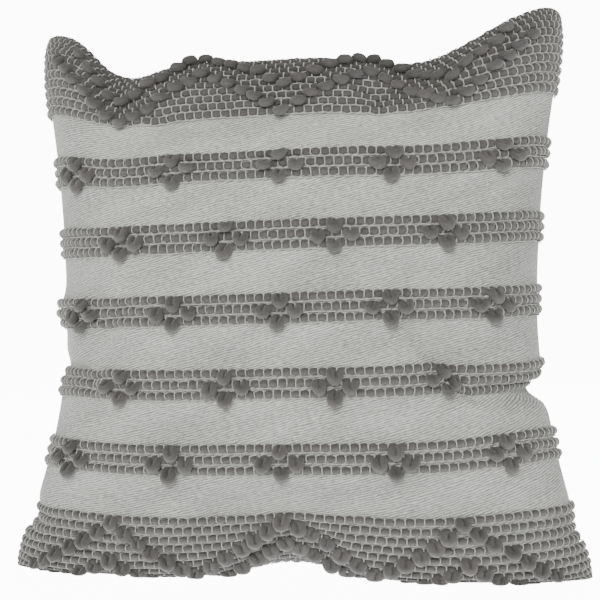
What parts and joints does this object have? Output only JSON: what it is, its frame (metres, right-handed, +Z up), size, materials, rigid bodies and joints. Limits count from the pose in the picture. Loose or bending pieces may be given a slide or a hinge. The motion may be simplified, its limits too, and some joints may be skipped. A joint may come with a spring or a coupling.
{
  "type": "throw pillow",
  "caption": "Square knife-edge throw pillow with woven yarn stripes, banded ends and raised loops on the front, and a zipped back cover over an inner cushion.",
  "frame": {"origin": "middle of the base on the floor, under the pillow standing on its lower corners", "axes": "+Z up the pillow, +X to the right seen from the front, the patterned front faces -Y"},
  "size_m": [0.4338, 0.1867, 0.4162],
  "materials": {
    "handloomed_ground": "light grey melange cotton twill, matte, slightly uneven",
    "roving_yarn": "thick soft taupe-grey roving, matte and fibrous",
    "sewing_thread": "grey polyester sewing thread",
    "zip_tape": "woven polyester tape",
    "zip_coil": "nylon monofilament coil, slightly shiny",
    "zip_metal": "grey enamelled zinc",
    "ticking": "plain white cotton ticking",
    "filling": "loose polyester fibre"
  },
  "bodies": {
    "pillow": {"bottom_band_inner_loops": "roving_yarn", "bottom_band_outer_loops": "roving_yarn", "bottom_band_yarn": "roving_yarn", "cover_back_panel_lower": "handloomed_ground", "cover_back_panel_upper": "handloomed_ground", "cover_edge_stitching": "sewing_thread", "cover_front_panel": "handloomed_ground", "insert_filling": "filling", "insert_ticking_back": "ticking", "insert_ticking_front": "ticking", "stripe_1_loops": "roving_yarn", "stripe_1_yarn": "roving_yarn", "stripe_2_loops": "roving_yarn", "stripe_2_yarn": "roving_yarn", "stripe_3_loops": "roving_yarn", "stripe_3_yarn": "roving_yarn", "stripe_4_loops": "roving_yarn", "stripe_4_yarn": "roving_yarn", "stripe_5_loops": "roving_yarn", "stripe_5_yarn": "roving_yarn", "top_band_inner_loops": "roving_yarn", "top_band_outer_loops": "roving_yarn", "top_band_yarn": "roving_yarn", "zip_bottom_stop": "zip_metal", "zip_coil_lower": "zip_coil", "zip_coil_upper": "zip_coil", "zip_tape_lower": "zip_tape", "zip_tape_upper": "zip_tape", "zip_top_stops": "zip_metal", "zip_topstitching": "sewing_thread"},
    "slider": {"zip_slider": "zip_metal"},
    "pull": {"zip_pull": "zip_metal"}
  },
  "joints": [
    {"name": "slider_run", "type": "hinge", "parent": "pillow", "child": "slider", "pos_m": [0, -0.5771, 0.06], "axis": [0, 0, -1], "range_deg": [0, 24]},
    {"name": "pull_swing", "type": "hinge", "parent": "slider", "child": "pull", "pos_m": [-0.14124, 0.04584, 0.06051], "axis": [-0.0828, 0.3653, 0.9272], "range_deg": [0, 150]}
  ]
}
